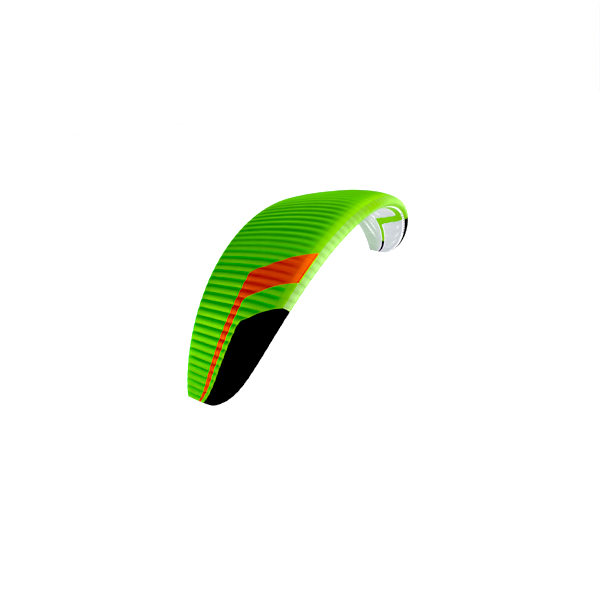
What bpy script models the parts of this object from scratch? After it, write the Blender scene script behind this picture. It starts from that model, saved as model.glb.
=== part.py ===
"""A ram-air paraglider wing, inflated, as its sewn cloth pieces.

Frame: +Z up, the span along X, the leading edge towards -Y. The origin is on the lower sail at mid-span,
30 % of the chord behind the leading edge, above the point where the lines would carry the pilot.
The pilot faces -Y, so the right half is at -X and the left half at +X.
"""

import math
from collections import namedtuple

import bmesh
import bpy
import numpy as np

# Driving dimensions, in metres
HALF_SPAN = 5.8  # from the centre to a tip, along the cloth
ROOT_CHORD = 2.73
CLOTH = 0.003  # thickness of every sheet
PIECE_GAP = 0.0004  # between two pieces that are sewn edge to edge
TRAILING_HALF = 0.0033  # half the wing's thickness at its trailing edge, where two sheets meet
BILLOW = 0.0195  # how far a cell's crown stands above its seams, where it is fullest
CARRY_SHARE = 0.3  # share of the chord at which the wing is carried, and about which it twists

# The span: 65 cells that narrow towards the tips, on an arc that bends a little more there
CELLS = 65
CELL_TAPER = 0.1334
ARC_BEND = 0.9623
ARC_TIP_BEND = 0.3139
TIP_TWIST = -0.0612  # radians, nose down

# Planform: each edge moves by these lengths times a power of the share of the half span
LEADING_SWEEP = ((2, 0.7262), (6, 0.4162), (24, 0.3147))
TRAILING_SWEEP = ((2, 0.7677), (6, -0.1819), (24, 0.0138))

# Section, in shares of the chord
THICKNESS = 0.1747
TIP_THINNING = 0.3873
CAMBER = 0.0038
CAMBER_PLACE = 0.33
FOIL = (0.2969, -0.126, -0.3516, 0.2843, -0.1036)  # the four-digit thickness formula

# Where pieces meet along the chord: below zero is the lower side, above zero the upper
BAND_UPPER = 0.045  # rear edge of the pale nose band
BAND_LOWER = -0.011  # its lower edge, where the strip under the nose starts
STRIP_TOP = -0.044  # where the intake strip starts
INTAKE_TOP = -0.048
INTAKE_FOOT = -0.061
STRIP_FOOT = -0.065  # where the lower sail starts
UNDER_STRIPE_REAR = -0.13  # rear edge of the green stripe behind the intakes

# The crown's height along the chord: chord share, share of BILLOW
CROWN = (
    (-1.0, 0.2),
    (-0.86, 0.7),
    (-0.17, 0.7),
    (STRIP_FOOT, 0.0),
    (STRIP_TOP, 0.0),
    (BAND_LOWER, 0.3),
    (0.11, 0.3),
    (0.25, 0.6),
    (0.5, 1.0),
    (0.86, 1.0),
    (1.0, 0.4),
)

# Where pieces meet along the span, in cells counted from a tip
DARK_END = 14
FLASH_END = 21
FRONT_STRIP_END = 17
FIRST_INTAKE = 8
RUN_SEAMS = (FIRST_INTAKE, DARK_END, 20, 25, 30)  # the nose pieces are cut in runs, which meet here
INTAKE_MARGIN = 0.2  # of a cell, between a seam and the intake's side
SWEPT_CELLS = 18  # near the tips, where an intake's edges also bend with the sweep at its middle

# Colour borders: share of the chord at a number of cells from the tip, straight between two rows
DARK_BORDER = (
    (0, 0.375),
    (1, 0.397),
    (2.5, 0.408),
    (6, 0.41),
    (8, 0.403),
    (11, 0.391),
    (11.5, 0.368),
    (12, 0.305),
    (13, 0.195),
    (13.5, 0.125),
    (14, BAND_UPPER),
)
FLASH_FRONT = (
    (0, 0.465),
    (1, 0.475),
    (4, 0.483),
    (6, 0.48),
    (8, 0.471),
    (10, 0.462),
    (12, 0.455),
    (13.5, 0.449),
    (14, 0.437),
    (15, 0.315),
    (16, 0.2),
    (17, BAND_UPPER),
    (21, BAND_UPPER),
)
FLASH_REAR = (
    (0, 0.545),
    (1, 0.551),
    (4.5, 0.562),
    (6, 0.558),
    (8, 0.552),
    (10, 0.543),
    (12, 0.537),
    (14, 0.531),
    (17, 0.525),
    (18, 0.395),
    (19, 0.28),
    (20, 0.165),
    (20.5, 0.1),
    (21, BAND_UPPER),
)
UNDER_FRONT = (
    (0, -0.395),
    (4, -0.43),
    (11, -0.43),
    (11.5, -0.405),
    (12, -0.36),
    (13, -0.235),
    (14, STRIP_FOOT),
    (21, STRIP_FOOT),
)
UNDER_REAR = ((0, -0.485), (4, -0.5), (14, -0.495), (17, UNDER_STRIPE_REAR), (21, UNDER_STRIPE_REAR))
UNDER_DARK_END = 4.5
UNDER_FRONT_END = 14
POINT_END = 0.06  # of a cell, cut off where a piece runs to a sharp point

# Linear colours
GREEN = (0.10, 0.50, 0.004)
PALE_GREEN = (0.36, 0.80, 0.12)
ORANGE = (0.84, 0.085, 0.004)
BLACK = (0.004, 0.005, 0.006)
WHITE = (0.78, 0.83, 0.80)

# A sheet runs from its first to its last cell along the span and from its front to its rear border
Sheet = namedtuple("Sheet", "name first last front rear cloth rows")


def remove_everything():
    for item in list(bpy.data.objects):
        bpy.data.objects.remove(item, do_unlink=True)


def cloth_material(name, colour):
    material = bpy.data.materials.new(name)
    material.use_nodes = True
    shader = material.node_tree.nodes["Principled BSDF"]
    shader.inputs["Base Color"].default_value = (*colour, 1.0)
    shader.inputs["Roughness"].default_value = 0.5
    shader.inputs["Metallic"].default_value = 0.0
    return material


def arc_table(steps=400):
    """Across and down positions along the half span, for a bend that grows towards the tip."""
    share = np.linspace(0.0, 1.0, steps + 1)
    bend = ARC_BEND * share + ARC_TIP_BEND * share**3
    length = HALF_SPAN / steps
    across = np.cumsum((np.cos(bend[1:]) + np.cos(bend[:-1])) / 2) * length
    down = np.cumsum((np.sin(bend[1:]) + np.sin(bend[:-1])) / 2) * length
    return share, np.append(0.0, across), np.append(0.0, down)


ARC = arc_table()


def span_share(cell):
    """-1 at the right tip, +1 at the left tip, for a cell number from 0 to CELLS."""
    even = (cell - CELLS / 2) / (CELLS / 2)
    return even * (1 + CELL_TAPER) - CELL_TAPER * even**3


def cell_width(cell):
    even = (cell - CELLS / 2) / (CELLS / 2)
    return (1 + CELL_TAPER - 3 * CELL_TAPER * even**2) * HALF_SPAN / (CELLS / 2)


def swept(share, rows):
    return sum(length * share**power for power, length in rows)


def section_frame(cell):
    """Place of the leading edge, up direction, span direction, chord, thickness share and twist."""
    signed = span_share(cell)
    share = abs(signed)
    side = math.copysign(1.0, signed)
    bend = (ARC_BEND * share + ARC_TIP_BEND * share**3) * side
    across = np.interp(share, ARC[0], ARC[1]) * side
    down = np.interp(share, ARC[0], ARC[2])
    lead = swept(share, LEADING_SWEEP)
    chord = ROOT_CHORD - swept(share, TRAILING_SWEEP) - lead
    start = np.array([across, lead, -down])
    up = np.array([math.sin(bend), 0.0, math.cos(bend)])
    along = np.array([math.cos(bend), 0.0, -math.sin(bend)])
    thick = THICKNESS * (1 - TIP_THINNING * share**4)
    return start, up, along, chord, thick, TIP_TWIST * share**2


def foil_height(root, thick, chord):
    """Height over the chord line, in metres; root is the signed square root of the chord share."""
    share = root * root
    half = 5 * thick * (FOIL[0] * abs(root) + sum(f * share ** (i + 1) for i, f in enumerate(FOIL[1:])))
    if share < CAMBER_PLACE:
        middle = CAMBER / CAMBER_PLACE**2 * (2 * CAMBER_PLACE * share - share**2)
    else:
        rest = 1 - CAMBER_PLACE
        middle = CAMBER / rest**2 * (1 - 2 * CAMBER_PLACE + 2 * CAMBER_PLACE * share - share**2)
    edge = TRAILING_HALF * share
    return middle * chord + math.copysign(half * chord + edge, root)


def billow_height(cell, root):
    """A cell's crown, highest half way between its seams, and none along the intakes."""
    across = 1 - abs(2 * (cell % 1.0) - 1)
    share = math.copysign(root * root, root)
    along = np.interp(share, *zip(*CROWN))
    return BILLOW * across * along


def flat_point(frame, root):
    """Back and up position of the seam line's section, before its twist."""
    _, _, _, chord, thick, _ = frame
    return np.array([chord * root * root, foil_height(root, thick, chord)])


def cloth_point(cell, root, depth):
    """A point on the cloth, depth under its outer face."""
    frame = section_frame(cell)
    start, up, _, chord, _, twist = frame
    step = 1e-4
    low = max(root - step, -1.0)
    high = min(root + step, 1.0)
    tangent = flat_point(frame, high) - flat_point(frame, low)
    tangent /= np.linalg.norm(tangent)
    outward = np.array([-tangent[1], tangent[0]])
    point = flat_point(frame, root) + (billow_height(cell, root) - depth) * outward
    back = point[0] - CARRY_SHARE * chord
    turned_back = CARRY_SHARE * chord + back * math.cos(twist) + point[1] * math.sin(twist)
    turned_up = point[1] * math.cos(twist) - back * math.sin(twist)
    return start + np.array([0.0, turned_back, 0.0]) + turned_up * up


def carry_point():
    return cloth_point(CELLS / 2, -math.sqrt(CARRY_SHARE), 0.0)


ORIGIN = carry_point()


def root_of(share):
    return math.copysign(math.sqrt(abs(share)), share)


def root_step(cell, root, length):
    """How far root moves for a length along the section."""
    frame = section_frame(cell)
    step = 1e-3
    low = max(root - step, -1.0)
    high = min(root + step, 1.0)
    return length * (high - low) / np.linalg.norm(flat_point(frame, high) - flat_point(frame, low))


def border(rows):
    """The chord share of a colour border at a number of cells from the tip."""
    cells = [row[0] for row in rows]
    shares = [row[1] for row in rows]
    return lambda cell: float(np.interp(cell, cells, shares))


def level(share):
    return lambda cell: share


def half_cells(first, last):
    """Columns at every seam and every cell's middle between two places."""
    inner = [step / 2 for step in range(math.ceil(first * 2), math.floor(last * 2) + 1)]
    return sorted({first, last, *inner})


def grid_mesh(name, outer, inner, kept):
    """One closed sheet from two grids of points. kept says which of the grid's squares hold cloth."""
    mesh = bmesh.new()
    columns = len(outer)
    rows = len(outer[0])
    used = {}

    def vertex(layer, i, j):
        key = (layer, i, j)
        if key not in used:
            used[key] = mesh.verts.new((outer, inner)[layer][i][j])
        return used[key]

    def holds(i, j):
        return 0 <= i < columns - 1 and 0 <= j < rows - 1 and kept(i, j)

    for i in range(columns - 1):
        for j in range(rows - 1):
            if not holds(i, j):
                continue
            ring = [(i, j), (i + 1, j), (i + 1, j + 1), (i, j + 1)]
            beside = [(i, j - 1), (i + 1, j), (i, j + 1), (i - 1, j)]
            # both layers bend along the same diagonal, so that they stay apart
            for half in (ring[:3], [ring[0], *ring[2:]]):
                mesh.faces.new([vertex(0, *corner) for corner in half])
                mesh.faces.new([vertex(1, *corner) for corner in reversed(half)])
            for side in range(4):
                if holds(*beside[side]):
                    continue
                a = ring[side]
                b = ring[(side + 1) % 4]
                mesh.faces.new([vertex(0, *b), vertex(0, *a), vertex(1, *a), vertex(1, *b)])
    bmesh.ops.recalc_face_normals(mesh, faces=mesh.faces)
    data = bpy.data.meshes.new(name)
    mesh.to_mesh(data)
    mesh.free()
    return data


def add_piece(name, data, material):
    data.materials.append(material)
    data.shade_smooth()
    data.set_sharp_from_angle(angle=math.radians(50))
    piece = bpy.data.objects.new(name, data)
    bpy.context.scene.collection.objects.link(piece)
    return piece


def cloth_row(cell, roots_at, mirrored, depth):
    """A column of points; between two half cells it lies on the straight lines that join theirs."""
    before = math.floor(cell * 2) / 2
    after = min(before + 0.5, CELLS)
    share = (cell - before) * 2
    rows = []
    for place in (before, after):
        number = CELLS - place if mirrored else place
        rows.append([cloth_point(number, root, depth) - ORIGIN for root in roots_at(place)])
    return [first + (second - first) * share for first, second in zip(*rows)]


def sheet_points(cells, roots_at, mirrored):
    """Outer and inner points of a sheet, one column for each cell number."""
    outer = []
    inner = []
    last = len(cells) - 1
    for i, cell in enumerate(cells):
        inset = PIECE_GAP / 2 / cell_width(cell) * ((i == 0) - (i == last))
        outer.append(cloth_row(cell + inset, roots_at, mirrored, 0.0))
        inner.append(cloth_row(cell + inset, roots_at, mirrored, CLOTH))
    return outer, inner


def even_roots(front, rear, rows):
    """Row places from one border to the other, closer together near the nose."""
    way = math.copysign(1.0, rear(0) - front(0))

    def roots_at(cell):
        first = root_of(front(cell))
        last = root_of(rear(cell))
        first += way * root_step(cell, first, PIECE_GAP / 2)
        if abs(last) < 1.0:
            last -= way * root_step(cell, last, PIECE_GAP / 2)
        return [first + (last - first) * j / rows for j in range(rows + 1)]

    return roots_at


def add_sheet(name, sheet, cloth, mirrored=False):
    columns = half_cells(sheet.first, sheet.last)
    outer, inner = sheet_points(columns, even_roots(sheet.front, sheet.rear, sheet.rows), mirrored)
    return add_piece(name, grid_mesh(name, outer, inner, lambda i, j: True), cloth[sheet.cloth])


def add_intake_strip(name, first, last, material):
    """A run of the strip under the nose, open in the middle of each cell that takes in air."""
    cells = []
    open_columns = set()
    for cell in range(first, last):
        open_columns.add(len(cells) + 1)
        cells += [cell, cell + INTAKE_MARGIN]
        if min(cell, CELLS - 1 - cell) < SWEPT_CELLS:
            open_columns.add(len(cells))
            cells.append(cell + 0.5)
        cells.append(cell + 1 - INTAKE_MARGIN)
    cells.append(last)
    shares = (STRIP_TOP, INTAKE_TOP, INTAKE_FOOT, STRIP_FOOT)

    def roots_at(cell):
        roots = [root_of(share) for share in shares]
        roots[0] -= root_step(cell, roots[0], PIECE_GAP / 2)
        roots[-1] += root_step(cell, roots[-1], PIECE_GAP / 2)
        return roots

    outer, inner = sheet_points(cells, roots_at, False)
    data = grid_mesh(name, outer, inner, lambda i, j: not (j == 1 and i in open_columns))
    return add_piece(name, data, material)


def add_tip_rib(name, cell, way, material, points=15):
    """The flat sheet that closes the last cell, against the ends of the upper and lower sails."""
    along = section_frame(cell)[2] * way
    upper = [j / points for j in range(points, -1, -1)]
    lower = [-j / points for j in range(1, points + 1)]
    ring = [cloth_point(cell, root, 0.0) - ORIGIN for root in upper + lower]
    mesh = bmesh.new()
    near = [mesh.verts.new(point + along * PIECE_GAP / 2) for point in ring]
    far = [mesh.verts.new(point + along * (PIECE_GAP / 2 + CLOTH)) for point in ring]
    count = len(ring)
    for j in range(points):
        # each strip runs from the upper outline to the lower one
        other = count - 1 - j
        for layer in (near, far):
            corners = [layer[j], layer[j + 1], layer[other - 1], layer[other]]
            mesh.faces.new(list(dict.fromkeys(corners)))
    for j in range(count):
        after = (j + 1) % count
        mesh.faces.new([near[j], near[after], far[after], far[j]])
    bmesh.ops.recalc_face_normals(mesh, faces=mesh.faces)
    data = bpy.data.meshes.new(name)
    mesh.to_mesh(data)
    mesh.free()
    return add_piece(name, data, material)


def half_sheets():
    """The sheets of one side, from its tip to the end of the orange flash."""
    dark = border(DARK_BORDER)
    flash_front = border(FLASH_FRONT)
    flash_rear = border(FLASH_REAR)
    under_front = border(UNDER_FRONT)
    under_rear = border(UNDER_REAR)
    strip_top = level(STRIP_TOP)
    strip_foot = level(STRIP_FOOT)

    def stripe_front(cell):
        return dark(cell) if cell < DARK_END else BAND_UPPER

    return [
        Sheet("tip_panel", 0, DARK_END, strip_top, dark, "black", 5),
        Sheet("front_stripe", 0, FRONT_STRIP_END - POINT_END, stripe_front, flash_front, "green", 2),
        Sheet("flash", 0, FLASH_END - POINT_END, flash_front, flash_rear, "orange", 3),
        Sheet("upper_sail", 0, FLASH_END, flash_rear, level(1.0), "green", 3),
        Sheet("under_front", 0, UNDER_FRONT_END - POINT_END, strip_foot, under_front, "white", 2),
        Sheet("under_tip_stripe", 0, UNDER_DARK_END, under_front, under_rear, "black", 1),
        Sheet("under_stripe", UNDER_DARK_END, FLASH_END, under_front, under_rear, "green", 2),
        Sheet("under_sail", 0, FLASH_END, under_rear, level(-1.0), "white", 3),
        Sheet("closed_strip", 0, FIRST_INTAKE, strip_top, strip_foot, "white", 1),
    ]


def centre_sheets():
    """The sheets that cross the middle: the two sails, then the nose pieces in runs of a few cells."""
    last = CELLS - FLASH_END
    sheets = [
        Sheet("upper_sail_centre", FLASH_END, last, level(BAND_UPPER), level(1.0), "green", 6),
        Sheet("under_stripe_centre", FLASH_END, last, level(STRIP_FOOT), level(UNDER_STRIPE_REAR), "green", 1),
        Sheet("under_sail_centre", FLASH_END, last, level(UNDER_STRIPE_REAR), level(-1.0), "white", 4),
    ]
    for number, (first, last) in enumerate(nose_runs(), start=1):
        if DARK_END <= first < CELLS - DARK_END:
            band = (level(BAND_LOWER), level(BAND_UPPER))
            under = (level(STRIP_TOP), level(BAND_LOWER))
            sheets.append(Sheet(f"nose_band_{number}", first, last, *band, "pale", 4))
            sheets.append(Sheet(f"under_nose_{number}", first, last, *under, "green", 1))
    return sheets


def nose_runs():
    """First and last seam of each run, from the right tip to the left."""
    seams = [*RUN_SEAMS, *(CELLS - seam for seam in reversed(RUN_SEAMS))]
    return list(zip(seams, seams[1:]))


def build_wing():
    remove_everything()
    cloth = {
        "green": cloth_material("green_ripstop", GREEN),
        "pale": cloth_material("pale_green_ripstop", PALE_GREEN),
        "orange": cloth_material("orange_ripstop", ORANGE),
        "black": cloth_material("black_ripstop", BLACK),
        "white": cloth_material("white_ripstop", WHITE),
    }
    for sheet in centre_sheets():
        add_sheet(sheet.name, sheet, cloth)
    for number, (first, last) in enumerate(nose_runs(), start=1):
        add_intake_strip(f"intake_strip_{number}", first, last, cloth["white"])
    for word in ("right", "left"):
        mirrored = word == "left"
        for sheet in half_sheets():
            add_sheet(f"{sheet.name}_{word}", sheet, cloth, mirrored)
        tip = CELLS if mirrored else 0
        outward = 1.0 if mirrored else -1.0
        add_tip_rib(f"tip_rib_{word}", tip, outward, cloth["black"])


build_wing()
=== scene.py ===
# Looks for the paraglider wing: each cloth piece is made again, finer and rounder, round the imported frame.
import math

import bpy
import numpy as np
from mathutils import Matrix, Vector


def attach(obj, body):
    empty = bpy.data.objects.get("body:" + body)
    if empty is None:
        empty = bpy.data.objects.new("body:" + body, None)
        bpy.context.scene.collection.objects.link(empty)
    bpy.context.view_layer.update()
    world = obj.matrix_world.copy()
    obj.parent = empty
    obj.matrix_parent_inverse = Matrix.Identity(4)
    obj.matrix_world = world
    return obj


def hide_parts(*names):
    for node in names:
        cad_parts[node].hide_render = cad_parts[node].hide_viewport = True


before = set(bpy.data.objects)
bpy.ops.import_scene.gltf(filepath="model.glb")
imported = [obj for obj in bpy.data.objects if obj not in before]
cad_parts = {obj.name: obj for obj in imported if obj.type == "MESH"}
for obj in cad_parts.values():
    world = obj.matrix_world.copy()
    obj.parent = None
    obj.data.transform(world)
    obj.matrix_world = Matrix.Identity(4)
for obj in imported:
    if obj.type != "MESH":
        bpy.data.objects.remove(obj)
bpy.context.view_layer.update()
print("frame loaded,", len(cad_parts), "nodes")

# The wing's own shape, in metres and shares of the chord, as its solids have it
wing = {
    "cells": 65,
    "cellTaper": 0.1334,  # the middle cells are this much wider than even, the tips' narrower by twice that
    "halfSpan": 5.8,  # along the cloth
    "rootChord": 2.73,
    "carryShare": 0.3,  # the wing is carried, and twists, about this share of its chord
    "arcBend": 0.9623,  # radians at the tip, growing with the share of the half span
    "arcTipBend": 0.3139,  # and with its cube
    "arcSteps": 2000,
    "tipTwist": -0.0612,  # radians, nose down
    # each edge moves by these lengths times a power of the share of the half span
    "leadingSweep": ((2, 0.7262), (6, 0.4162), (24, 0.3147)),
    "trailingSweep": ((2, 0.7677), (6, -0.1819), (24, 0.0138)),
    "thickness": 0.1747,
    "tipThinning": 0.3873,
    "camber": 0.0038,
    "camberPlace": 0.33,
    "foil": (0.2969, -0.126, -0.3516, 0.2843, -0.1036),  # the four-digit thickness formula
    "trailingHalf": 0.0033,  # half the thickness at the trailing edge
    "slopeStep": 1e-4,  # the foil's slope is taken over this, in roots of the chord share
}

# Where pieces meet: shares of the chord, less than zero on the lower side
bandUpper = 0.045
bandLower = -0.011
stripTop = -0.044
intakeTop = -0.048
intakeFoot = -0.061
stripFoot = -0.065
underStripeRear = -0.13
# and cells from a tip
firstIntake = 8
darkEnd = 14
flashEnd = 21
frontStripeEnd = 17
underDarkEnd = 4.5
underFrontEnd = 14

# Colour borders: cells from a tip and shares of the chord
borders = {
    "dark": (
        (0, 0.375), (1, 0.397), (2.5, 0.408), (6, 0.41), (8, 0.403), (11, 0.391), (11.5, 0.368),
        (12, 0.305), (13, 0.195), (13.5, 0.125), (14, bandUpper), (17, bandUpper),
    ),
    "flashFront": (
        (0, 0.465), (1, 0.475), (4, 0.483), (6, 0.48), (8, 0.471), (10, 0.462), (12, 0.455), (13.5, 0.449),
        (14, 0.437), (15, 0.315), (16, 0.2), (17, bandUpper), (21, bandUpper),
    ),
    "flashRear": (
        (0, 0.545), (1, 0.551), (4.5, 0.562), (6, 0.558), (8, 0.552), (10, 0.543), (12, 0.537), (14, 0.531),
        (17, 0.525), (18, 0.395), (19, 0.28), (20, 0.165), (20.5, 0.1), (21, bandUpper),
    ),
    "underFront": (
        (0, -0.395), (4, -0.43), (11, -0.43), (11.5, -0.405), (12, -0.36), (13, -0.235), (14, stripFoot),
        (21, stripFoot),
    ),
    "underRear": ((0, -0.485), (4, -0.5), (14, -0.495), (17, underStripeRear), (21, underStripeRear)),
}


def arcTable():
    # how far across and down each place on the half span lies
    share = np.linspace(0, 1, wing["arcSteps"] + 1)
    bend = wing["arcBend"] * share + wing["arcTipBend"] * share**3
    length = wing["halfSpan"] / wing["arcSteps"]
    across = np.cumsum((np.cos(bend[1:]) + np.cos(bend[:-1])) / 2) * length
    down = np.cumsum((np.sin(bend[1:]) + np.sin(bend[:-1])) / 2) * length
    return share, np.append(0, across), np.append(0, down)


arc = arcTable()


def spanShare(cell):
    even = cell / (wing["cells"] / 2) - 1
    return even * (1 + wing["cellTaper"]) - wing["cellTaper"] * even**3


def cellWidth(cell):
    even = cell / (wing["cells"] / 2) - 1
    toEven = 1 + wing["cellTaper"] - 3 * wing["cellTaper"] * even**2
    return toEven * wing["halfSpan"] * 2 / wing["cells"]


def swept(share, rows):
    return sum(length * share**power for power, length in rows)


def chordAt(cell):
    share = np.abs(spanShare(cell))
    return wing["rootChord"] - swept(share, wing["trailingSweep"]) - swept(share, wing["leadingSweep"])


def rootOf(share):
    return np.sign(share) * np.sqrt(np.abs(share))


def shareOf(root):
    return np.sign(root) * root * root


def foilHeight(root, thick, chord):
    # root is the signed square root of the chord share
    share = root * root
    first, *others = wing["foil"]
    half = 5 * thick * (first * np.abs(root) + sum(f * share ** (i + 1) for i, f in enumerate(others)))
    place = wing["camberPlace"]
    before = (2 * place * share - share**2) / place**2
    behind = (1 - 2 * place + 2 * place * share - share**2) / (1 - place) ** 2
    middle = wing["camber"] * np.where(share < place, before, behind)
    return middle * chord + np.sign(root) * (half * chord + wing["trailingHalf"] * share)


def clothPoint(cell, root, lift):
    # places on the cloth, lift over the seam lines' surface
    signed = spanShare(cell)
    share = np.abs(signed)
    side = np.sign(signed)
    bend = (wing["arcBend"] * share + wing["arcTipBend"] * share**3) * side
    across = np.interp(share, arc[0], arc[1]) * side
    down = np.interp(share, arc[0], arc[2])
    chord = chordAt(cell)
    thick = wing["thickness"] * (1 - wing["tipThinning"] * share**4)
    low = np.maximum(root - wing["slopeStep"], -1)
    high = np.minimum(root + wing["slopeStep"], 1)
    runBack = chord * (high * high - low * low)
    runUp = foilHeight(high, thick, chord) - foilHeight(low, thick, chord)
    run = np.hypot(runBack, runUp)
    back = chord * root * root - lift * runUp / run - wing["carryShare"] * chord
    up = foilHeight(root, thick, chord) + lift * runBack / run
    twist = wing["tipTwist"] * share**2
    turnedBack = wing["carryShare"] * chord + back * np.cos(twist) + up * np.sin(twist)
    turnedUp = up * np.cos(twist) - back * np.sin(twist)
    forward = swept(share, wing["leadingSweep"]) + turnedBack
    place = (across + turnedUp * np.sin(bend), forward, -down + turnedUp * np.cos(bend))
    return np.stack(np.broadcast_arrays(*place), axis=-1)


origin = clothPoint(np.array(wing["cells"] / 2), np.array(-math.sqrt(wing["carryShare"])), 0.0)

# The camera is at the flying height of the wing's middle, near its right tip
view = {
    "place": (-8.6931, -3.5742, 2.4275),  # from the leading edge at mid-span
    "heading": 34.123,  # degrees from +X towards +Y
    "dip": 26.698,
    "roll": -4.742,
    "lens": 24.105,
    "sensor": 36.0,
}


def addCamera():
    heading = math.radians(view["heading"])
    dip = math.radians(view["dip"])
    roll = math.radians(view["roll"])
    ahead = Vector((math.cos(dip) * math.cos(heading), math.cos(dip) * math.sin(heading), -math.sin(dip)))
    level = ahead.cross(Vector((0, 0, 1))).normalized()
    upright = level.cross(ahead)
    right = level * math.cos(roll) + upright * math.sin(roll)
    up = upright * math.cos(roll) - level * math.sin(roll)
    data = bpy.data.cameras.new("camera")
    data.lens = view["lens"]
    data.sensor_width = view["sensor"]
    camera = bpy.data.objects.new("camera", data)
    bpy.context.scene.collection.objects.link(camera)
    turned = Matrix((right, up, -ahead)).transposed().to_4x4()
    camera.matrix_world = Matrix.Translation(Vector(view["place"]) - Vector(origin)) @ turned
    bpy.context.scene.camera = camera


addCamera()
print("camera set")

studio = {
    "blackLevel": 0.06,  # linear values under this come out black
    "floorDrop": 12.0,  # below the origin
    "floorSize": 900.0,
    "floorGrey": 0.9,
    "floorGlow": 0.42,
    "backdropReach": 400,  # how far off the white backdrop stands
    "backdropHeight": 200.0,
    "backdropFoot": 1.0,  # how far under the floor it starts
    "backdropSides": 48,
    "softboxCore": 0.25,  # of a softbox's half width, at full brightness
    "softboxes": (
        # elevation, azimuth and half width in degrees, brightness
        (4, 26, 27, 0.66),
        (4, 129, 27, 3.3),
        (4, 283, 27, 11.0),
        (10, 125, 15, 11.3),
        (10, 140, 15, 5.2),
        (25, 40, 14, 1.14),
        (38, 0, 14, 9.1),
        (48, 315, 30, 4.86),
        (70, 315, 26, 1.89),
    ),
}


class Wire:
    # a socket's value in shader sums: + - * and / add Math nodes
    def __init__(self, shader, socket):
        self.shader = shader
        self.socket = socket

    def __add__(self, other):
        return self.shader.maths("ADD", self, other)

    def __sub__(self, other):
        return self.shader.maths("SUBTRACT", self, other)

    def __rsub__(self, other):
        return self.shader.maths("SUBTRACT", other, self)

    def __mul__(self, other):
        return self.shader.maths("MULTIPLY", self, other)

    def __truediv__(self, other):
        return self.shader.maths("DIVIDE", self, other)

    def __rtruediv__(self, other):
        return self.shader.maths("DIVIDE", other, self)

    __radd__ = __add__
    __rmul__ = __mul__


class Shader:
    # builds one node tree
    def __init__(self, tree):
        self.tree = tree
        tree.nodes.clear()

    def add(self, kind, settings=None, sockets=None, output=0):
        node = self.tree.nodes.new(kind)
        for key, value in (settings or {}).items():
            if key == "stops":
                self.setStops(node.color_ramp, value)
            else:
                setattr(node, key, value)
        for key, value in (sockets or {}).items():
            if isinstance(value, Wire):
                self.tree.links.new(value.socket, node.inputs[key])
            else:
                node.inputs[key].default_value = value
        return Wire(self, node.outputs[output]) if len(node.outputs) else node

    def setStops(self, ramp, stops):
        while len(ramp.elements) < len(stops):
            ramp.elements.new(1.0)
        for element, (place, colour) in zip(ramp.elements, stops):
            element.position = place
            element.color = colour

    def maths(self, operation, first, second=0.0):
        return self.add("ShaderNodeMath", {"operation": operation}, {0: first, 1: second})

    def mixColour(self, factor, first, second, blend="MIX"):
        settings = {"data_type": "RGBA", "blend_type": blend, "clamp_factor": True}
        return self.add("ShaderNodeMix", settings, {0: factor, 6: first, 7: second}, output=2)

    def between(self, value, low, high):
        # 0 at low, 1 at high, soft at both ends
        settings = {"interpolation_type": "SMOOTHSTEP"}
        return self.add("ShaderNodeMapRange", settings, {"Value": value, "From Min": low, "From Max": high})

    def attribute(self, name):
        return self.add("ShaderNodeAttribute", {"attribute_name": name}, output=2)

    def other(self, wire, output):
        # another output of the same node
        return Wire(self, wire.socket.node.outputs[output])


def colour(red, green, blue):
    return (red, green, blue, 1.0)


def towards(elevation, azimuth):
    level = math.cos(math.radians(elevation))
    turn = math.radians(azimuth)
    return (level * math.cos(turn), level * math.sin(turn), math.sin(math.radians(elevation)))


def setView(scene):
    scene.view_settings.view_transform = "Standard"
    scene.view_settings.use_curve_mapping = True
    scene.view_settings.curve_mapping.black_level = (studio["blackLevel"],) * 3
    scene.view_settings.curve_mapping.update()


def addSoftboxes(scene):
    world = bpy.data.worlds.new("studio")
    scene.world = world
    world.use_nodes = True
    shader = Shader(world.node_tree)
    direction = shader.add("ShaderNodeTexCoord")
    direction = shader.add("ShaderNodeVectorMath", {"operation": "NORMALIZE"}, {0: direction})
    light = 0.0
    for elevation, azimuth, spread, bright in studio["softboxes"]:
        sockets = {0: direction, 1: towards(elevation, azimuth)}
        facing = shader.add("ShaderNodeVectorMath", {"operation": "DOT_PRODUCT"}, sockets, output=1)
        edge = math.cos(math.radians(spread))
        core = math.cos(math.radians(spread * studio["softboxCore"]))
        light = light + shader.between(facing, edge, core) * bright
    background = shader.add("ShaderNodeBackground", sockets={"Color": colour(1, 1, 1), "Strength": light})
    shader.add("ShaderNodeOutputWorld", sockets={"Surface": background})


def stagePiece(name, corners, faces):
    mesh = bpy.data.meshes.new(name)
    mesh.from_pydata(corners, [], faces)
    obj = bpy.data.objects.new(name, mesh)
    bpy.context.scene.collection.objects.link(obj)
    material = bpy.data.materials.new(name + "_white")
    material.use_nodes = True
    mesh.materials.append(material)
    return obj


def addFloor():
    half = studio["floorSize"] / 2
    drop = -studio["floorDrop"]
    corners = [(-half, -half, drop), (half, -half, drop), (half, half, drop), (-half, half, drop)]
    floor = stagePiece("floor", corners, [(0, 1, 2, 3)])
    shader = Shader(floor.data.materials[0].node_tree)
    sockets = {
        "Base Color": colour(*[studio["floorGrey"]] * 3),
        "Roughness": 0.9,
        "Emission Color": colour(1, 1, 1),
        "Emission Strength": studio["floorGlow"],
    }
    surface = shader.add("ShaderNodeBsdfPrincipled", sockets=sockets)
    shader.add("ShaderNodeOutputMaterial", sockets={"Surface": surface})


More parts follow.
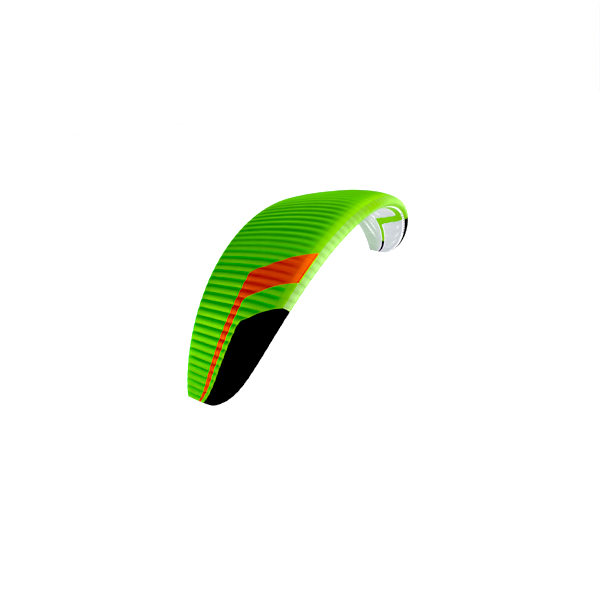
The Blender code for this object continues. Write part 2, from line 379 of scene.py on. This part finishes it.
def addBackdrop():
    # a white wall all round and over, which only the camera sees
    reach = studio["backdropReach"]
    sides = studio["backdropSides"]
    levels = (-studio["floorDrop"] - studio["backdropFoot"], studio["backdropHeight"])
    turns = [2 * math.pi * i / sides for i in range(sides)]
    corners = [(reach * math.cos(turn), reach * math.sin(turn), z) for z in levels for turn in turns]
    faces = [(i, (i + 1) % sides, sides + (i + 1) % sides, sides + i) for i in range(sides)]
    faces.append(tuple(range(sides, 2 * sides)))
    backdrop = stagePiece("backdrop", corners, faces)
    shader = Shader(backdrop.data.materials[0].node_tree)
    surface = shader.add("ShaderNodeEmission", sockets={"Color": colour(1, 1, 1), "Strength": 1.0})
    shader.add("ShaderNodeOutputMaterial", sockets={"Surface": surface})
    backdrop.visible_diffuse = False
    backdrop.visible_glossy = False
    backdrop.visible_transmission = False
    backdrop.visible_shadow = False


setView(bpy.context.scene)
addSoftboxes(bpy.context.scene)
addFloor()
addBackdrop()
print("studio set")

# How the air and the thread shape the cloth, in metres and shares of the chord
crown = {
    "height": 0.0195,  # of a cell's middle over its seams
    "uneven": 0.10,  # how much it varies from cell to cell
    "alongChord": (
        (-1.0, 0.2), (-0.86, 0.7), (-0.17, 0.7), (stripFoot, 0.0), (stripTop, 0.0),
        (bandLower, 0.3), (0.11, 0.3), (0.25, 0.6), (0.5, 1.0), (0.86, 1.0), (1.0, 0.4),
    ),
}
pucker = {
    "height": 0.0022,  # of the small waves that the thread draws in beside a seam
    "reach": 0.022,  # how far from the seam they fade
    "rise": 0.004,  # and how far from it they are full
    "longWave": 0.170,
    "shortWave": 0.094,
    "shortShare": 0.7,  # the short wave's height to the long one's
}
noseSeam = {"place": 0.115, "depth": 0.0014, "width": 0.012}
creases = {
    "depth": 0.012,
    "places": (
        # slack folds in the under sail: cells from a tip, chord share, length, width, lean in degrees
        (9.8, 0.76, 0.50, 0.065, 116),
        (8.3, 0.75, 0.50, 0.060, 120),
        (6.9, 0.72, 0.52, 0.060, 126),
        (11.2, 0.64, 0.50, 0.060, 112),
        (12.6, 0.58, 0.46, 0.055, 110),
        (9.2, 0.62, 0.40, 0.050, 118),
        (17.6, 0.38, 0.42, 0.070, 104),
        (14.6, 0.50, 0.50, 0.060, 106),
        (20.2, 0.50, 0.45, 0.060, 104),
        (10.9, 0.15, 0.26, 0.050, 80),
        (7.6, 0.16, 0.32, 0.050, 75),
        (4.6, 0.19, 0.34, 0.050, 72),
    ),
}
numbers = np.random.default_rng(11)
cellDraw = numbers.uniform(-1, 1, wing["cells"] + 1)
seamPhase = numbers.uniform(0, 2 * math.pi, (2, wing["cells"] + 1))


def softSteps(value, rows):
    # through the rows' values, level at each
    places = np.array([row[0] for row in rows])
    heights = np.array([row[1] for row in rows])
    before = np.clip(np.searchsorted(places, value, side="right") - 1, 0, len(places) - 2)
    part = np.clip((value - places[before]) / (places[before + 1] - places[before]), 0, 1)
    return heights[before] + (heights[before + 1] - heights[before]) * part * part * (3 - 2 * part)


def creaseAt(cell, share):
    # 1 along each fold's ridge, none on the upper side
    tipCell = np.minimum(cell, wing["cells"] - cell)
    across = spanShare(tipCell) * wing["halfSpan"]
    back = -share * chordAt(cell)
    total = np.zeros_like(cell, dtype=float)
    for place, down, length, width, lean in creases["places"]:
        turn = math.radians(lean)
        offAcross = across - spanShare(place) * wing["halfSpan"]
        offBack = back - down * chordAt(place)
        along = offBack * math.cos(turn) - offAcross * math.sin(turn)
        aside = offAcross * math.cos(turn) + offBack * math.sin(turn)
        total = total + np.exp(-((along / length * 2) ** 2) - (aside / width * 2) ** 2)
    return np.where(share < 0, np.clip(total, 0, 1), 0)


def puckerAt(cell, share):
    nearest = np.clip(np.round(cell), 0, wing["cells"]).astype(int)
    gap = np.abs(cell - nearest) * cellWidth(cell)
    along = np.abs(share) * chordAt(cell)
    waves = np.sin(along * 2 * math.pi / pucker["longWave"] + seamPhase[0][nearest])
    shortWaves = np.sin(along * 2 * math.pi / pucker["shortWave"] + seamPhase[1][nearest])
    waves = waves + pucker["shortShare"] * shortWaves
    return waves * np.exp(-gap / pucker["reach"]) * np.minimum(1, gap / pucker["rise"])


def clothLift(cell, root):
    share = shareOf(root)
    number = np.clip(np.floor(cell), 0, wing["cells"] - 1).astype(int)
    part = cell - number
    full = softSteps(share, crown["alongChord"])
    size = crown["height"] * (1 + crown["uneven"] * cellDraw[number])
    lift = size * full * 4 * part * (1 - part)
    lift = lift + pucker["height"] * full * puckerAt(cell, share)
    lift = lift - creases["depth"] * creaseAt(cell, share)
    away = (share - noseSeam["place"]) * chordAt(cell)
    return lift - noseSeam["depth"] * np.exp(-(away / noseSeam["width"]) ** 2)


# A sheet is a grid of points between two borders, with a second skin under it
sheets = {
    "thickness": 0.001,
    "columnsPerCell": 10,
    "rowGap": 0.028,
    "sharpAngle": 32,  # degrees, from which an edge isn't smoothed
    "leastArea": 0.3,
}


def borderLine(rows):
    if isinstance(rows, (int, float)):
        return lambda cells: np.full(len(cells), float(rows))
    places = [row[0] for row in rows]
    shares = [row[1] for row in rows]
    return lambda cells: np.interp(cells, places, shares)


def columnPlaces(first, last, perCell):
    inner = np.arange(math.ceil(first * perCell), math.floor(last * perCell) + 1) / perCell
    return np.unique(np.round(np.concatenate([[first], inner, [last]]), 6))


def sheetFaces(outer, inner, kept):
    # both skins, turned outward, and a wall between them along every free edge
    columns, rows = outer.shape[:2]
    total = columns * rows
    index = np.arange(total).reshape(columns, rows)
    corners = np.stack([index[:-1, :-1], index[1:, :-1], index[1:, 1:], index[:-1, 1:]], axis=-1)[kept]
    a, b, c = (outer.reshape(-1, 3)[corners[:, i]] for i in (0, 1, 2))
    outward = (outer - inner).reshape(-1, 3)[corners[:, 0]]
    if (np.cross(b - a, c - b) * outward).sum() < 0:
        corners = corners[:, ::-1]
    edges = np.concatenate([corners[:, [i, (i + 1) % 4]] for i in range(4)])
    forward = edges[:, 0].astype(np.int64) * total + edges[:, 1]
    backward = edges[:, 1].astype(np.int64) * total + edges[:, 0]
    rim = edges[~np.isin(forward, backward)]
    walls = np.stack([rim[:, 1], rim[:, 0], rim[:, 0] + total, rim[:, 1] + total], axis=-1)
    return np.concatenate([corners, corners[:, ::-1] + total, walls])


def sheetMesh(name, outer, inner, kept, values, cloth):
    # outer and inner hold columns x rows of points; kept says which squares between them hold cloth
    used, faces = np.unique(sheetFaces(outer, inner, kept), return_inverse=True)
    points = np.concatenate([outer.reshape(-1, 3), inner.reshape(-1, 3)])[used]
    mesh = bpy.data.meshes.new(name)
    mesh.from_pydata(points.tolist(), [], faces.reshape(-1, 4).tolist())
    for key, grid in values.items():
        flat = np.concatenate([grid.reshape(-1), grid.reshape(-1)])[used]
        mesh.attributes.new(key, "FLOAT", "POINT").data.foreach_set("value", flat.astype(np.float32))
    inside = (used >= outer.shape[0] * outer.shape[1]).astype(np.float32)
    mesh.attributes.new("inside", "FLOAT", "POINT").data.foreach_set("value", inside)
    flat = np.concatenate([cloth.reshape(-1, 2), cloth.reshape(-1, 2)])[used]
    corner = np.empty(len(mesh.loops), np.int32)
    mesh.loops.foreach_get("vertex_index", corner)
    mesh.uv_layers.new(name="cloth").data.foreach_set("uv", flat[corner].astype(np.float32).ravel())
    mesh.shade_smooth()
    mesh.set_sharp_from_angle(angle=math.radians(sheets["sharpAngle"]))
    return mesh


def sheetGrid(piece, mirrored):
    # each point's cell and root of its chord share; the cells count from the left tip where mirrored
    places = columnPlaces(piece["first"], piece["last"], sheets["columnsPerCell"])
    front = rootOf(borderLine(piece["front"])(places))
    rear = rootOf(borderLine(piece["rear"])(places))
    cell = wing["cells"] - places if mirrored else places
    longest = np.max(np.abs(shareOf(front) - shareOf(rear)) * chordAt(cell))
    rows = piece.get("rows") or max(2, math.ceil(longest / sheets["rowGap"]))
    part = np.linspace(0, 1, rows + 1)
    root = front[:, None] + (rear - front)[:, None] * part[None, :]
    kept = np.ones((len(places) - 1, rows), bool)
    if "openings" in piece:
        kept = piece["openings"](places, part)
    return np.repeat(cell[:, None], rows + 1, axis=1), root, kept


def sheetArea(points, kept):
    one = np.cross(points[1:, :-1] - points[:-1, :-1], points[1:, 1:] - points[:-1, :-1])
    two = np.cross(points[1:, 1:] - points[:-1, :-1], points[:-1, 1:] - points[:-1, :-1])
    return float(((np.linalg.norm(one, axis=-1) + np.linalg.norm(two, axis=-1)) / 2)[kept].sum())


def stateSheet(obj, outer, kept):
    along = np.linalg.norm(np.diff(outer, axis=0), axis=-1).sum(0)
    down = np.linalg.norm(np.diff(outer, axis=1), axis=-1).sum(1)
    size = (float(along.max()), float(down.max()))
    area = sheetArea(outer, kept)
    flat = f"flat {size[0]:.2f} x {size[1]:.2f} area {area:.3f}"
    print(obj.name, len(obj.data.polygons), "faces,", flat)


def buildSheet(name, piece, mirrored=False):
    cell, root, kept = sheetGrid(piece, mirrored)
    share = shareOf(root)
    lift = clothLift(cell, root)
    outer = clothPoint(cell, root, lift) - origin
    inner = clothPoint(cell, root, lift - sheets["thickness"]) - origin
    run = np.linalg.norm(np.diff(outer, axis=1), axis=-1)
    near = np.concatenate([np.zeros((len(run), 1)), np.cumsum(run, axis=1)], axis=1)
    values = {
        "seamGap": np.abs(cell - np.round(cell)) * cellWidth(cell),
        "frontGap": near,
        "rearGap": near[:, -1:] - near,
        "chordPlace": share,
        "cellPlace": cell,
        "creased": creaseAt(cell, share),
    }
    cloth = np.stack([spanShare(cell) * wing["halfSpan"], near], axis=-1)
    mesh = sheetMesh(name, outer, inner, kept, values, cloth)
    obj = bpy.data.objects.new(name, mesh)
    bpy.context.scene.collection.objects.link(obj)
    mesh.materials.append(clothMaterials[piece.get("finish", piece["cloth"])])
    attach(obj, "root")
    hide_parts(*piece["nodes"])
    piece["cloth"] + "_cloth"
    stateSheet(obj, outer, kept)


# Each sailcloth: its deeper colour is painted shade on a cell's side towards mid-span and its own colour
# holds painted light on the side towards the tip; the nose colour is painted light and the under colour
# painted shade; the inside colour is painted light and also the thread's colour; glint its sheen, the tapes
# line a piece's borders
sailcloth = {
    "green": {
        "colour": (0.190, 0.51, 0.003),
        "deep": (0.034, 0.49, 0.002),
        "nose": (0.195, 0.53, 0.003),
        "under": (0.15, 0.41, 0.003),
        "lining": (0.62, 0.80, 0.50),
        "glint": (0.35, 1.0, 0.05),
        "frontTape": (0.03, 0.60, 0.003),
        "rearTape": (0.05, 0.70, 0.002),
        "frontWidth": 0.030,
        "rearWidth": 0.030,
        "roughness": 0.5,
        "metallic": 0.15,
    },
    "pale_green": {
        "colour": (0.285, 0.565, 0.125),
        "lining": (0.70, 0.82, 0.60),
        "glint": (0.8, 1.0, 0.6),
        "frontTape": (0.19, 0.44, 0.045),
        "rearTape": (0.25, 0.80, 0.03),
        "frontWidth": 0.065,
        "roughness": 0.6,
        "metallic": 0.0,
    },
    "orange": {
        "colour": (0.69, 0.115, 0.002),
        "deep": (0.64, 0.088, 0.001),
        "nose": (0.84, 0.16, 0.006),
        "lining": (0.80, 0.60, 0.45),
        "glint": (1.0, 0.35, 0.15),
        "frontTape": (0.82, 0.03, 0.004),
        "rearTape": (0.82, 0.03, 0.004),
        "frontWidth": 0.024,
        "rearWidth": 0.024,
        "cellShadeShare": 0.8,  # of the painted cell shade on the others
        "roughness": 0.5,
        "metallic": 0.15,
    },
    "black": {
        "colour": (0.002, 0.0025, 0.003),
        "lining": (0.05, 0.05, 0.05),
        "glint": (1, 1, 1),
        "frontTape": (0.002, 0.002, 0.002),
        "rearTape": (0.002, 0.002, 0.002),
        "roughness": 0.6,
        "metallic": 0.0,
    },
    "white": {
        "colour": (0.436, 0.458, 0.48),
        "lining": (0.80, 0.82, 0.82),
        "glint": (1, 1, 1),
        "frontTape": (0.80, 0.72, 0.88),
        "rearTape": (0.80, 0.72, 0.88),
        "roughness": 0.6,
        "metallic": 0.0,
    },
    # a lit copy of the white cloth, for the strips along the intakes: painted light, with a painted glow
    # though it is no lamp
    "bright_white": {
        "colour": (0.88, 0.88, 0.90),
        "lining": (0.86, 0.88, 0.88),
        "glint": (1, 1, 1),
        "frontTape": (0.88, 0.88, 0.90),
        "rearTape": (0.88, 0.88, 0.90),
        "paintedGlowColour": (0.8, 0.8, 0.85),
        "roughness": 0.6,
        "metallic": 0.0,
    },
}
sailcloth["stripe_green"] = {**sailcloth["green"], "frontTape": (0.24, 0.60, 0.003)}
weave = {
    "gridStep": 0.005,  # between the ripstop's stronger threads
    "gridLine": (0.40, 0.48),  # a thread's edge and its full height, in steps from a square's middle
    "gridHeight": 0.00006,
    "gridTone": 0.97,
    "tipGridShare": 0.3,  # how much paler the threads are on the tips
    "crinkle": 0.0011,
    "crinkleScale": 9.0,  # per metre
    "crinkleDetail": 5.0,
    "crinkleTone": 0.08,  # how far crinkles move the tone, and the roughness
    "crinkleRoughness": 0.12,
    "slack": 0.0035,
    "slackScale": 2.4,
    "slackDetail": 2.0,
    "specular": 0.08,
    # painted glow of the inside faces and of the lit white strips, though none is a lamp
    "paintedGlowStrength": 0.3,
}


def clothPlaces(shader):
    # where a point lies on the wing, in its cell and on its own cloth
    cell = shader.attribute("cellPlace")
    chord = shader.attribute("chordPlace")
    flat = shader.add("ShaderNodeUVMap", {"uv_map": "cloth"})
    across = shader.add("ShaderNodeSeparateXYZ", sockets={0: flat})
    offCentre = cell - wing["cells"] / 2
    return {
        "cell": cell,
        "chord": chord,
        "upper": shader.between(chord, 0.0, 0.01),
        "outboard": (shader.maths("FRACT", cell) - 0.5) * shader.maths("SIGN", offCentre) + 0.5,
        "offCentre": shader.maths("ABSOLUTE", offCentre),
        "seamGap": shader.attribute("seamGap"),
        "flat": flat,
        "across": across,
        "back": shader.other(across, 1),
    }


def toned(mask, tone):
    # the tone where the mask is full, 1 where it is empty
    return 1 - mask * (1 - tone)


bandTint = {
    # painted highlight and shade along the band: greener at mid-span, its own paler colour towards the tips
    # but only half of it towards the left tip
    "midSpan": (0.175, 0.43, 0.020),
    "midCells": (0.0, 15.0),  # from mid-span, over which it turns into the band's own colour
    "leftCells": (33.0, 41.0),  # from the right tip, over which that colour halves
    "leftShare": 0.5,
    # painted highlight in each cell's middle
    "crown": (0.385, 0.645, 0.225),
    "crownShare": 0.9,
    "binding": (0.62, 0.80, 0.35),
    "bindingEdge": (0.08, 0.12),  # cells from the black panel's end
}


def bandColour(shader, at, base):
    # painted highlight and shade along the band and in each cell's middle; the binding is a tape by the black
    # panel's end
    spread = shader.between(at["offCentre"], *bandTint["midCells"])
    spread = spread * (1 - shader.between(at["cell"], *bandTint["leftCells"]) * bandTint["leftShare"])
    base = shader.mixColour(spread, colour(*bandTint["midSpan"]), base)
    middle = 1 - shader.maths("ABSOLUTE", at["outboard"] * 2 - 1)
    base = shader.mixColour(middle * bandTint["crownShare"] * spread, base, colour(*bandTint["crown"]))
    fromEnd = shader.maths("ABSOLUTE", at["offCentre"] - (wing["cells"] / 2 - darkEnd))
    binding = 1 - shader.between(fromEnd, *bandTint["bindingEdge"])
    return shader.mixColour(binding, base, colour(*bandTint["binding"]))


underTint = {
    "rear": (0.30, 0.385, 0.305),
    "rearPlaces": (0.40, 0.78),  # shares of the chord
    "fold": (0.72, 0.75, 0.75),
    "foldShare": 0.8,
}


def underColour(shader, at, base):
    # green light comes through from the upper sail, and the folds catch the light
    rear = shader.between(0 - at["chord"], *underTint["rearPlaces"])
    base = shader.mixColour(rear, base, colour(*underTint["rear"]))
    folded = shader.attribute("creased") * underTint["foldShare"]
    return shader.mixColour(folded, base, colour(*underTint["fold"]))


tints = {"pale_green": bandColour, "white": underColour}
shading = {
    # cells from mid-span, then shares of the chord
    "leanCells": (9.5, 14.5),  # over these a cell's two sides come to differ: painted light towards the tip, painted shade towards mid-span
    "crestCells": (2.0, 13.0),  # over these the crest's painted light and shade fade
    "nose": (0.14, 0.08),  # where the nose's painted light starts, and over how much it fades in
    # where the lower side's painted shade starts
    "underEdge": (-0.005, 0.005),
    "crestPlaces": (0.15, 0.62),  # painted light brightens the crest over these
    "crestDark": 0.09,
    "crestRise": 0.22,
    "crestNose": (0.13, 0.06),  # and painted shade darkens it a little in front of this
    "crestNoseDark": 0.06,
    "cellTones": (0.975, 1.015),
    "broadTone": 0.12,  # painted light: how much brighter the cells are where the painted cell shade is broad
}


def sailColour(shader, at, name, finish):
    deep = finish.get("deep", finish["colour"])
    # painted light on each cell's side towards the tip and painted shade on its side towards mid-span, the
    # more towards the tips
    leans = shader.between(at["offCentre"], *shading["leanCells"])
    mixed = at["outboard"] * leans + 0.5 * (1 - leans)
    base = shader.mixColour(mixed, colour(*deep), colour(*finish["colour"]))
    if name in tints:
        base = tints[name](shader, at, base)
    # painted light: lighter towards the nose
    if "nose" in finish:
        start, fade = shading["nose"]
        base = shader.mixColour(shader.between(start - at["chord"], 0.0, fade), base, colour(*finish["nose"]))
    # painted shade: darker on the lower side
    if "under" in finish:
        lower = shader.between(0 - at["chord"], *shading["underEdge"])
        base = shader.mixColour(lower, base, colour(*finish["under"]))
    return base


paintedCellShade = {
    # painted shade across each cell, in shares of a cell
    "width": 0.61,  # of the fades on its two sides together
    "fade": (0.12, 1.0),  # shares of a side's width between which it fades
    "broadCells": (10.0, 15.5),  # nearer to mid-span than these, the shade is broader
    "broadOut": 0.08,  # on the side towards the tip
    "broadIn": 0.27,
    "chord": (0.07, 0.18),  # it starts over these shares of the chord
    "rows": (
        # cells from mid-span, depth of the painted shade, place in the cell (1 by its seam towards the tip),
        # width on that side
        (0.0, 0.06, 0.75, 0.16),
        (1.0, 0.10, 0.75, 0.16),
        (3.5, 0.40, 0.75, 0.16),
        (6.5, 0.46, 0.76, 0.16),
        (9.5, 0.44, 0.74, 0.18),
        (12.5, 0.34, 0.48, 0.30),
        (15.5, 0.36, 0.32, 0.42),
        (18.5, 0.30, 0.22, 0.48),
        (21.5, 0.16, 0.15, 0.50),
        (24.5, 0.20, 0.14, 0.50),
        (32.5, 0.22, 0.12, 0.50),
    ),
}


def paintedCellShadow(shader, at, broad):
    # painted shade across each cell
    half = wing["cells"] / 2
    stops = [(cells / half, (depth, place, side, 1.0)) for cells, depth, place, side in paintedCellShade["rows"]]
    ramp = shader.add("ShaderNodeValToRGB", {"stops": stops}, {0: at["offCentre"] * (1 / half)})
    depth = shader.add("ShaderNodeSeparateColor", sockets={0: ramp})
    aside = at["outboard"] - shader.other(depth, 1)
    outWidth = shader.other(depth, 2) + broad * paintedCellShade["broadOut"]
    inWidth = paintedCellShade["width"] - outWidth + broad * paintedCellShade["broadIn"]
    shadow = 1 - shader.between(aside / outWidth, *paintedCellShade["fade"])
    shadow = shadow * (1 - shader.between((0 - aside) / inWidth, *paintedCellShade["fade"]))
    return shadow * depth * shader.between(at["chord"], *paintedCellShade["chord"])


def sailTone(shader, at, finish):
    # painted cell shade, a small random difference from cell to cell, and painted light and shade on the
    # crest
    broad = 1 - shader.between(at["offCentre"], *paintedCellShade["broadCells"])
    shadow = paintedCellShadow(shader, at, broad) * finish.get("cellShadeShare", 1.0)
    number = shader.maths("FLOOR", at["cell"])
    draw = shader.add("ShaderNodeTexWhiteNoise", {"noise_dimensions": "1D"}, {"W": number})
    darkest, brightest = shading["cellTones"]
    tone = (1 - shadow) * (darkest + draw * (brightest - darkest)) * (1 + broad * shading["broadTone"])
    central = 1 - shader.between(at["offCentre"], *shading["crestCells"])
    rise = shader.between(at["chord"], *shading["crestPlaces"]) * shading["crestRise"]
    tone = tone * (1 + central * (rise - shading["crestDark"]))
    start, fade = shading["crestNose"]
    front = shader.between(start - at["chord"], 0.0, fade) * at["upper"]
    return tone * (1 - central * front * shading["crestNoseDark"])


seams = {
    "width": 0.003,
    "tone": 0.75,
    "allowance": 0.012,  # cloth turned in beside a seam, darker partly as doubled cloth and partly as painted shade
    "allowanceTone": 0.95,
    "allowanceEdge": 1.25,  # its soft edge ends at this share of its width
    "noseEdge": (0.003, 0.006),  # shares of the chord from the nose seam
    "noseTone": 0.88,
    "stitchGap": 0.0045,  # rows of stitches from the seam
    "stitchStep": 0.004,
    "stitchEdge": (0.0004, 0.0011),  # from the row's middle
    "stitchDash": (-0.3, 0.2),  # of the sine along the row
    "stitchHeight": 0.0003,
    "stitchTint": 0.35,
}


def seamTone(shader, at):
    line = 1 - shader.between(at["seamGap"], seams["width"] / 2, seams["width"])
    allowance = seams["allowance"]
    turnedIn = 1 - shader.between(at["seamGap"], allowance, allowance * seams["allowanceEdge"])
    noseGap = shader.maths("ABSOLUTE", at["chord"] - noseSeam["place"])
    noseLine = 1 - shader.between(noseGap, *seams["noseEdge"])
    tone = toned(line, seams["tone"]) * toned(turnedIn, seams["allowanceTone"])
    return tone * toned(noseLine, seams["noseTone"])


def stitchRows(shader, at):
    row = shader.maths("ABSOLUTE", at["seamGap"] - seams["stitchGap"])
    dash = shader.maths("SINE", at["back"] * (2 * math.pi / seams["stitchStep"]))
    return (1 - shader.between(row, *seams["stitchEdge"])) * shader.between(dash, *seams["stitchDash"])


tapes = {
    "width": 0.022,
    "edge": 1.25,  # the soft edge ends at this share of the width
    "leftCells": (33.0, 40.0),  # from the right tip, over which the band's front tape narrows
    "leftNarrowing": 0.7,
    "endCells": 0.1,  # over which the band's rear tape ends
    "greenFront": (0.06, 0.07),  # shares of the chord where the green's front tape starts
}


def tapeMask(shader, at, name, finish, side):
    # 1 on the tape along a piece's front or rear border
    width = finish.get(side + "Width", tapes["width"])
    if name == "pale_green" and side == "front":
        width = (1 - shader.between(at["cell"], *tapes["leftCells"]) * tapes["leftNarrowing"]) * width
    tape = 1 - shader.between(shader.attribute(side + "Gap"), width, width * tapes["edge"])
    if name == "pale_green" and side == "rear":
        # only in front of the flash
        inner, outer = (wing["cells"] / 2 - end for end in (flashEnd, frontStripeEnd))
        tape = tape * shader.between(at["offCentre"], inner, inner + tapes["endCells"])
        tape = tape * (1 - shader.between(at["offCentre"], outer, outer + tapes["endCells"]))
    if "under" in finish:
        tape = tape * at["upper"]
    if name == "green" and side == "front":
        tape = tape * shader.between(at["chord"], *tapes["greenFront"])
    return tape


def ripstopGrid(shader, across, back):
    # 1 along the stronger threads
    places = [shader.maths("FRACT", place * (1 / weave["gridStep"])) - 0.5 for place in (across, back)]
    gap = shader.maths("MAXIMUM", *[shader.maths("ABSOLUTE", place) for place in places])
    return shader.between(gap, *weave["gridLine"])


def clothNoise(shader, place, kind):
    sockets = {"Vector": place, "Scale": weave[kind + "Scale"], "Detail": weave[kind + "Detail"]}
    return shader.add("ShaderNodeTexNoise", sockets=sockets)


def bumped(shader, height):
    return shader.add("ShaderNodeBump", sockets={"Strength": 1.0, "Distance": 1.0, "Height": height})


def finishMaterial(shader, sockets):
    surface = shader.add("ShaderNodeBsdfPrincipled", sockets=sockets)
    shader.add("ShaderNodeOutputMaterial", sockets={"Surface": surface})


def clothMaterial(name, finish):
    material = bpy.data.materials.new(name + "_sailcloth")
    material.use_nodes = True
    shader = Shader(material.node_tree)
    at = clothPlaces(shader)
    inside = shader.attribute("inside")
    stitches = stitchRows(shader, at)
    grid = ripstopGrid(shader, at["across"], at["back"])
    crinkle = clothNoise(shader, at["flat"], "crinkle")
    slack = clothNoise(shader, at["flat"], "slack")

    base = sailColour(shader, at, name, finish)
    for side in ("front", "rear"):
        tape = tapeMask(shader, at, name, finish, side)
        base = shader.mixColour(tape, base, colour(*finish[side + "Tape"]))
    tone = sailTone(shader, at, finish) * seamTone(shader, at) * toned(grid, weave["gridTone"])
    tone = tone * (1 + (crinkle - 0.5) * weave["crinkleTone"])
    shade = shader.add("ShaderNodeCombineColor", sockets={0: tone, 1: tone, 2: tone})
    # the inside colour is painted light through the cloth, and the colour of the thread
    lining = colour(*finish["lining"])
    base = shader.mixColour(1.0, base, shade, "MULTIPLY")
    base = shader.mixColour(stitches * seams["stitchTint"], base, lining)

    height = crinkle * weave["crinkle"] + slack * weave["slack"] + grid * weave["gridHeight"]
    sockets = {
        "Base Color": shader.mixColour(inside, base, lining),
        "Roughness": finish["roughness"] + (crinkle - 0.5) * weave["crinkleRoughness"],
        "Metallic": finish["metallic"] * (1 - inside),
        "Specular IOR Level": weave["specular"],
        "Specular Tint": colour(*finish["glint"]),
        # painted glow: the inside faces and the lit white strips glow though they are no lamp
        "Emission Color": shader.mixColour(inside, colour(*finish.get("paintedGlowColour", (0, 0, 0))), lining),
        "Emission Strength": weave["paintedGlowStrength"],
        "Normal": bumped(shader, height + stitches * seams["stitchHeight"]),
    }
    finishMaterial(shader, sockets)
    return material


def tipRibMaterial(finish):
    # the closed tip's cloth has no cells of its own
    material = bpy.data.materials.new("tip_rib_sailcloth")
    material.use_nodes = True
    shader = Shader(material.node_tree)
    place = shader.add("ShaderNodeTexCoord", output=3)
    across = shader.add("ShaderNodeSeparateXYZ", sockets={0: place}, output=1)
    grid = ripstopGrid(shader, across, shader.other(across, 2))
    crinkle = clothNoise(shader, place, "crinkle")
    threads = grid * weave["tipGridShare"]
    sockets = {
        "Base Color": shader.mixColour(threads, colour(*finish["colour"]), colour(*finish["lining"])),
        "Roughness": finish["roughness"] + (crinkle - 0.5) * weave["crinkleRoughness"],
        "Specular IOR Level": weave["specular"],
        "Normal": bumped(shader, crinkle * weave["crinkle"] + grid * weave["gridHeight"]),
    }
    finishMaterial(shader, sockets)
    return material


clothMaterials = {name: clothMaterial(name, finish) for name, finish in sailcloth.items()}
tipRib = tipRibMaterial(sailcloth["black"])
for side in ("right", "left"):
    bpy.data.objects["tip_rib_" + side].material_slots[0].material = tipRib
print("sailcloth mixed")

intake = {"start": 0.2, "end": 0.8}  # shares of its cell


def intakeSquares(places, part):
    # cloth everywhere but in the intakes
    middle = (places[1:] + places[:-1]) / 2 % 1
    inside = (middle > intake["start"]) & (middle < intake["end"])
    root = rootOf(stripTop) + (rootOf(stripFoot) - rootOf(stripTop)) * (part[1:] + part[:-1]) / 2
    share = shareOf(root)
    opened = (share < intakeTop) & (share > intakeFoot)
    return ~(inside[:, None] & opened[None, :])


# Pieces that run across mid-span, to as many cells from the left tip as they start from the right
runs = range(2, 9)
centrePieces = {
    "upper_sail": {
        "first": flashEnd, "front": bandUpper, "rear": 1.0,
        "cloth": "green", "nodes": ["upper_sail_centre"],
    },
    "under_stripe": {
        "first": flashEnd, "front": stripFoot, "rear": underStripeRear,
        "cloth": "green", "nodes": ["under_stripe_centre"],
    },
    "lower_sail": {
        "first": flashEnd, "front": underStripeRear, "rear": -1.0,
        "cloth": "white", "nodes": ["under_sail_centre"],
    },
    "nose_band": {
        "first": darkEnd, "front": bandLower, "rear": bandUpper, "rows": 12,
        "cloth": "pale_green", "nodes": [f"nose_band_{n}" for n in runs],
    },
    "under_nose": {
        "first": darkEnd, "front": stripTop, "rear": bandLower, "rows": 6,
        "cloth": "green", "nodes": [f"under_nose_{n}" for n in runs],
    },
    "intake_strip": {
        "first": firstIntake, "front": stripTop, "rear": stripFoot, "rows": 12, "openings": intakeSquares,
        "cloth": "white", "finish": "bright_white", "nodes": [f"intake_strip_{n}" for n in range(1, 10)],
    },
}
for name, piece in centrePieces.items():
    buildSheet(name, {**piece, "last": wing["cells"] - piece["first"]})

# Pieces of one half, from its tip
pointEnd = 0.06  # cells left off where a piece runs out to a point
halfPieces = {
    "tip_panel": {
        "first": 0, "last": darkEnd,
        "front": stripTop, "rear": borders["dark"], "cloth": "black",
    },
    "front_stripe": {
        "first": 0, "last": frontStripeEnd - pointEnd,
        "front": borders["dark"], "rear": borders["flashFront"], "cloth": "green", "finish": "stripe_green",
    },
    "flash": {
        "first": 0, "last": flashEnd - pointEnd,
        "front": borders["flashFront"], "rear": borders["flashRear"], "cloth": "orange",
    },
    "upper_sail": {
        "first": 0, "last": flashEnd,
        "front": borders["flashRear"], "rear": 1.0, "cloth": "green",
    },
    "under_front": {
        "first": 0, "last": underFrontEnd - pointEnd,
        "front": stripFoot, "rear": borders["underFront"], "cloth": "white",
    },
    "under_tip_stripe": {
        "first": 0, "last": underDarkEnd,
        "front": borders["underFront"], "rear": borders["underRear"], "cloth": "black",
    },
    "under_stripe": {
        "first": underDarkEnd, "last": flashEnd,
        "front": borders["underFront"], "rear": borders["underRear"], "cloth": "green",
    },
    "under_sail": {
        "first": 0, "last": flashEnd,
        "front": borders["underRear"], "rear": -1.0, "cloth": "white",
    },
    "closed_strip": {
        "first": 0, "last": firstIntake,
        "front": stripTop, "rear": stripFoot, "cloth": "white", "finish": "bright_white",
    },
}
for side, mirrored in (("right", False), ("left", True)):
    for name, piece in halfPieces.items():
        buildSheet(f"{name}_cloth_{side}", {**piece, "nodes": [f"{name}_{side}"]}, mirrored)
print("cloth pieces made")
